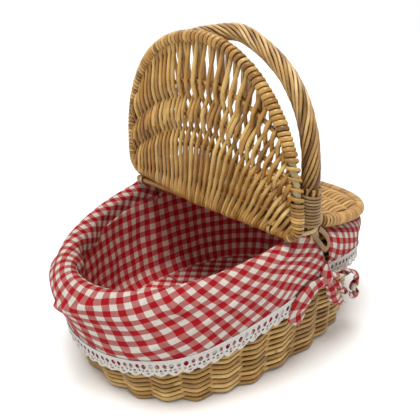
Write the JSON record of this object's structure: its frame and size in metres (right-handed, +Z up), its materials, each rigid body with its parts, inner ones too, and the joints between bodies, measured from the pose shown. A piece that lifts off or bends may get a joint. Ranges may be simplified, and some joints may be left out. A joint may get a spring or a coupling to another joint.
{
  "type": "picnic basket",
  "caption": "Oval woven willow picnic basket with a fixed twisted bow handle, hinged half lids and a gingham liner whose lace-edged cuffs fold over the rim and tie at the handle.",
  "frame": {"origin": "middle of the flat underside of the woven base, which rests on a table", "axes": "+Z up; +X along the basket's long axis towards the closed rear lid; Y along the handle's span, with the side seen in the picture at -Y"},
  "size_m": [0.3729, 0.2922, 0.3331],
  "materials": {
    "willow": "peeled buff willow with a thin clear varnish",
    "rod": "stouter buff willow rods, slightly darker",
    "cane": "split cane with a satin skin",
    "gingham": "red and off-white gingham, plain-woven cotton and linen",
    "lace": "white cotton crochet lace"
  },
  "bodies": {
    "basket": {"base_weave": "willow", "base_sticks": "rod", "side_weave": "willow", "stake_border": "rod", "handle_core": "rod", "handle_strand_1": "willow", "handle_strand_2": "willow", "handle_strand_3": "willow", "handle_strand_4": "willow", "handle_strand_5": "willow", "handle_strand_6": "willow", "handle_strand_7": "willow", "handle_strand_8": "willow", "near_handle_binding": "cane", "far_handle_binding": "cane", "hinge_bar": "rod", "near_bar_sling": "cane", "far_bar_sling": "cane", "front_lid_near_loop": "cane", "front_lid_far_loop": "cane", "rear_lid_near_loop": "cane", "rear_lid_far_loop": "cane", "liner_bag": "gingham", "front_cuff": "gingham", "front_lace": "lace", "rear_cuff": "gingham", "rear_lace": "lace", "near_tie_knot": "gingham", "near_tie_front_tail": "gingham", "near_tie_rear_loop": "gingham", "near_tie_rear_tail": "gingham", "far_tie_knot": "gingham", "far_tie_front_tail": "gingham", "far_tie_rear_loop": "gingham", "far_tie_rear_tail": "gingham"},
    "front_lid": {"front_lid_hinge_rod": "rod", "front_lid_rim_bow": "rod", "front_lid_edge_wrap": "willow", "front_lid_hinge_wrap": "willow", "front_lid_weave": "willow", "front_lid_rib_1": "rod", "front_lid_rib_2": "rod", "front_lid_rib_3": "rod"},
    "rear_lid": {"rear_lid_hinge_rod": "rod", "rear_lid_rim_bow": "rod", "rear_lid_edge_wrap": "willow", "rear_lid_hinge_wrap": "willow", "rear_lid_weave": "willow", "rear_lid_rib_1": "rod", "rear_lid_rib_2": "rod", "rear_lid_rib_3": "rod"}
  },
  "joints": [
    {"name": "front_lid_hinge", "type": "hinge", "parent": "basket", "child": "front_lid", "pos_m": [-0.022, 0, 0.15243], "axis": [0, 1, 0], "range_deg": [-102.9, 0]},
    {"name": "rear_lid_hinge", "type": "hinge", "parent": "basket", "child": "rear_lid", "pos_m": [0.022, 0, 0.15243], "axis": [0, -1, 0], "range_deg": [0, 102.9]}
  ]
}
